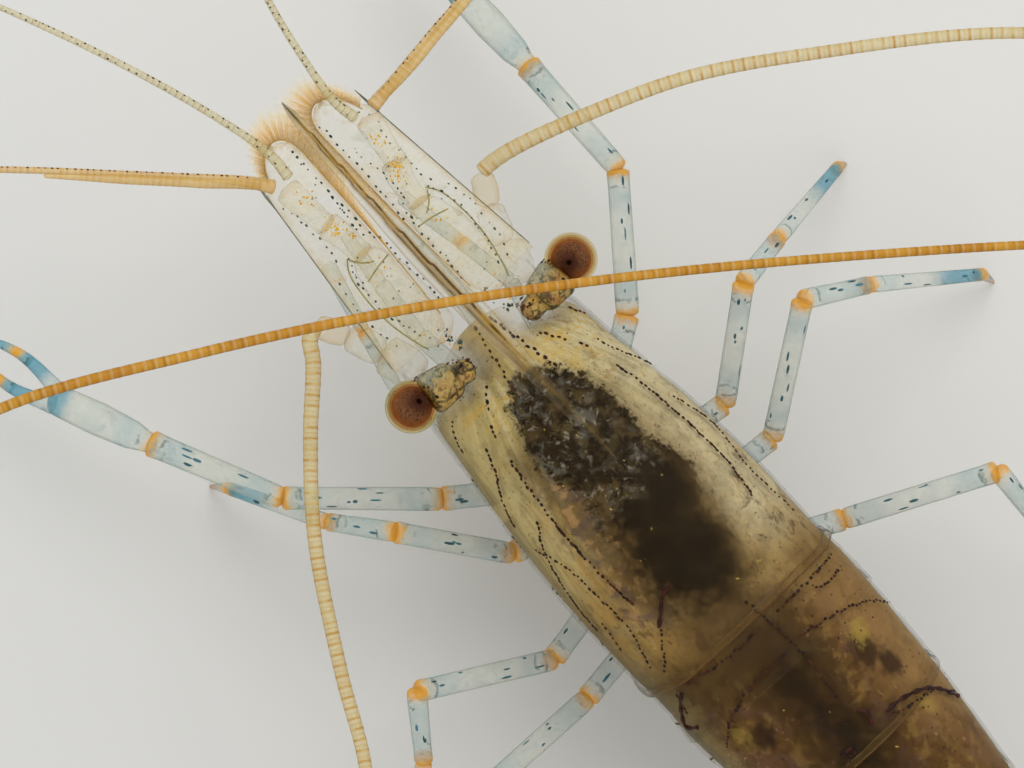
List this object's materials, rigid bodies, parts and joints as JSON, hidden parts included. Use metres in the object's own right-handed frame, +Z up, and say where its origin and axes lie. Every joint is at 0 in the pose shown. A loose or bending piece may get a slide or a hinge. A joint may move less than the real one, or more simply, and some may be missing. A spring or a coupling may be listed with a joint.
{
  "type": "rockpool prawn",
  "caption": "Life-size still model of a live rockpool prawn standing on its walking legs, with long curved feelers and slim blue-banded claws.",
  "frame": {"origin": "on the floor, under the middle of the whole animal's box, feelers included", "axes": "+X towards the head along the body, +Y towards the animal's left, +Z up"},
  "size_m": [0.0728, 0.0586, 0.0188],
  "materials": {
    "shell": "thin clear shell over olive-brown flesh, dotted dark lines, moist gloss",
    "clear_plate": "glass-clear thin plate with small dark and orange spots",
    "underside": "pale mottled flesh, moist",
    "eye": "dark brown faceted cornea under a clear gloss",
    "feeler": "ringed straw to orange",
    "leg": "translucent grey-green to light blue with orange joints",
    "claw": "translucent blue-green with blue bands and orange joints"
  },
  "bodies": {
    "root": {"abdomen_1": "shell", "abdomen_2": "shell", "abdomen_3": "shell", "abdomen_4": "shell", "abdomen_5": "shell", "abdomen_6": "shell", "antenna_left_1": "feeler", "antenna_left_2": "feeler", "antenna_left_3": "feeler", "antenna_left_4": "feeler", "antenna_left_5": "feeler", "antenna_peduncle_left": "leg", "antenna_peduncle_right": "leg", "antenna_right_1": "feeler", "antenna_right_2": "feeler", "antenna_right_3": "feeler", "antennal_scale_left": "clear_plate", "antennal_scale_right": "clear_plate", "antennule_inner_flagellum_left": "feeler", "antennule_inner_flagellum_right": "feeler", "antennule_outer_flagellum_left": "feeler", "antennule_outer_flagellum_right": "feeler", "antennule_peduncle_left": "clear_plate", "antennule_peduncle_right": "clear_plate", "carapace": "shell", "claw_leg_arm_left": "leg", "claw_leg_arm_right": "leg", "claw_leg_hand_left": "claw", "claw_leg_hand_right": "claw", "eye_left": "eye", "eye_right": "eye", "eye_stalk_left": "underside", "eye_stalk_right": "underside", "first_leg_left": "leg", "first_leg_right": "leg", "leg_left_3": "leg", "leg_left_4": "leg", "leg_left_5": "leg", "leg_right_3": "leg", "leg_right_4": "leg", "leg_right_5": "leg", "rostrum": "clear_plate", "swimmeret_left_1": "clear_plate", "swimmeret_left_2": "clear_plate", "swimmeret_left_3": "clear_plate", "swimmeret_left_4": "clear_plate", "swimmeret_left_5": "clear_plate", "swimmeret_right_1": "clear_plate", "swimmeret_right_2": "clear_plate", "swimmeret_right_3": "clear_plate", "swimmeret_right_4": "clear_plate", "swimmeret_right_5": "clear_plate", "telson": "shell", "third_maxilliped_left": "underside", "third_maxilliped_right": "underside", "thorax_underside": "underside", "uropod_inner_left": "clear_plate", "uropod_inner_right": "clear_plate", "uropod_outer_left": "clear_plate", "uropod_outer_right": "clear_plate"}
  },
  "joints": []
}
